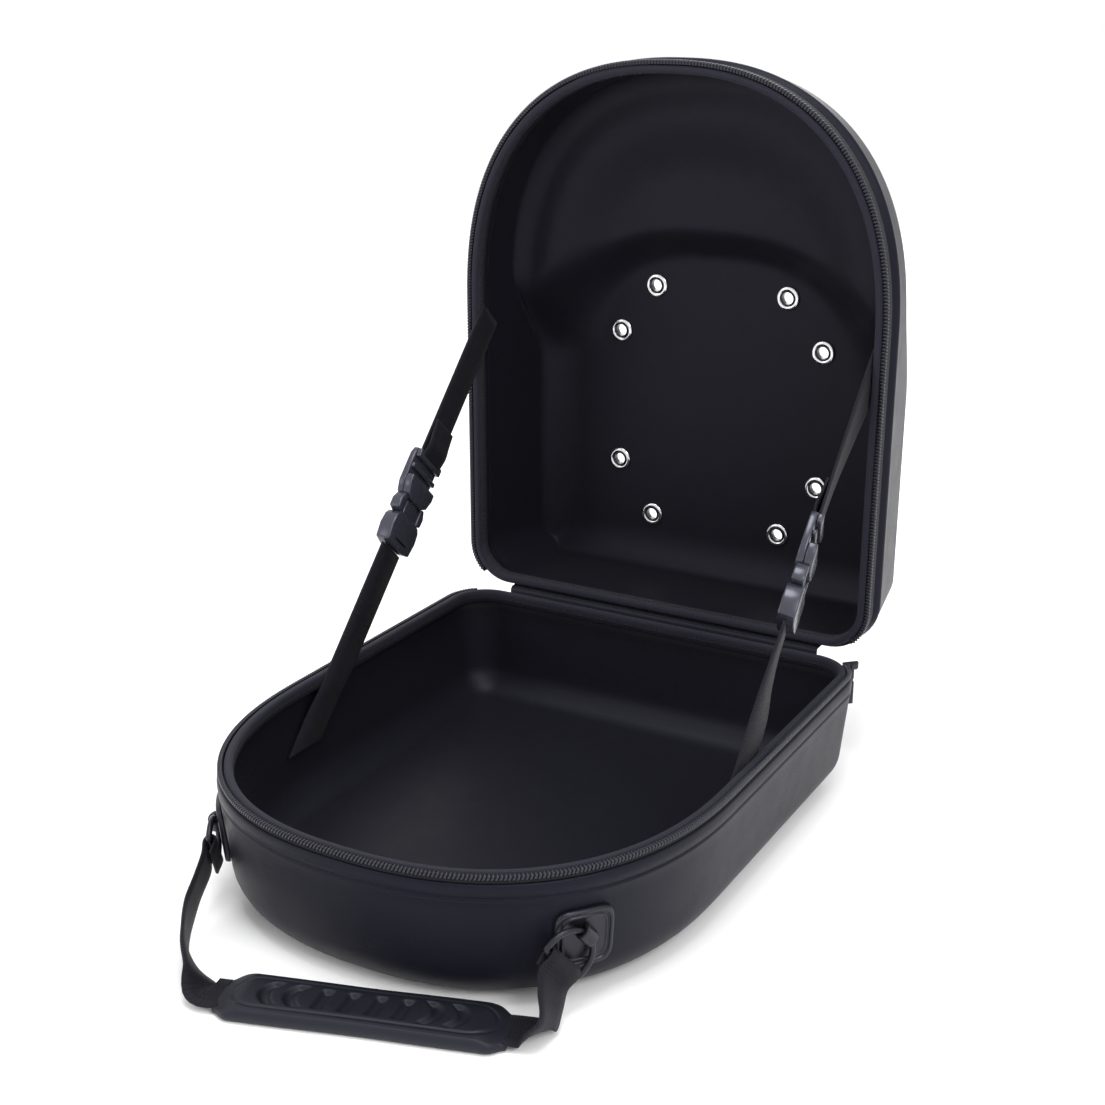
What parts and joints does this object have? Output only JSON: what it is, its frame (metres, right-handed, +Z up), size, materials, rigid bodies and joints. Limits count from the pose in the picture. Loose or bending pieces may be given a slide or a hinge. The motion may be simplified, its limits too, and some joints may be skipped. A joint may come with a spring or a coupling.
{
  "type": "baseball cap carrier case",
  "caption": "Hard-shell cap carrier case with a moulded lid on a cloth hinge, a zip rim, two buckled stay straps and a carry handle, shown open on its back.",
  "frame": {"origin": "middle of the tray's flat back, which the open case lies on", "axes": "+Z up out of the tray, -Y towards the round end with the handle, +X to the right of someone facing the open case"},
  "size_m": [0.31, 0.5365, 0.462],
  "materials": {
    "shell_cloth": "smooth satin cloth over padded board",
    "binding_cloth": "matt woven binding",
    "zip_coil": "nylon coil zip on woven tape",
    "webbing": "woven webbing",
    "black_plastic": "fine grained moulded plastic",
    "grip_rubber": "soft matt moulded rubber",
    "black_eyelet": "gloss black",
    "bright_metal": "bright nickel"
  },
  "bodies": {
    "base": {"base_shell": "shell_cloth", "base_binding": "binding_cloth", "base_zip_tape": "zip_coil", "hinge_strip": "binding_cloth", "zip_slider": "black_plastic", "zip_pull": "black_plastic", "stay_strap_upper_left": "webbing", "stay_strap_lower_left": "webbing", "stay_buckle_left": "black_plastic", "stay_strap_upper_right": "webbing", "stay_strap_lower_right": "webbing", "stay_buckle_right": "black_plastic", "handle_patch_left": "black_plastic", "handle_patch_right": "black_plastic", "handle_ring_left": "black_plastic", "handle_ring_right": "black_plastic", "handle_web_left": "webbing", "handle_web_right": "webbing", "handle_grip": "grip_rubber"},
    "lid": {"lid_shell": "shell_cloth", "lid_binding": "binding_cloth", "lid_zip_tape": "zip_coil", "eyelet_1": "black_eyelet", "eyelet_2": "black_eyelet", "eyelet_3": "black_eyelet", "eyelet_4": "black_eyelet", "eyelet_5": "black_eyelet", "eyelet_6": "black_eyelet", "eyelet_7": "black_eyelet", "eyelet_8": "black_eyelet", "washer_1": "bright_metal", "washer_2": "bright_metal", "washer_3": "bright_metal", "washer_4": "bright_metal", "washer_5": "bright_metal", "washer_6": "bright_metal", "washer_7": "bright_metal", "washer_8": "bright_metal"}
  },
  "joints": [
    {"name": "lid_hinge", "type": "hinge", "parent": "base", "child": "lid", "pos_m": [0, 0.19, 0.082], "axis": [1, 0, 0], "range_deg": [0, 90], "deforming": ["hinge_strip", "stay_strap_upper_left", "stay_strap_lower_left", "stay_buckle_left", "stay_strap_upper_right", "stay_strap_lower_right", "stay_buckle_right"]}
  ]
}
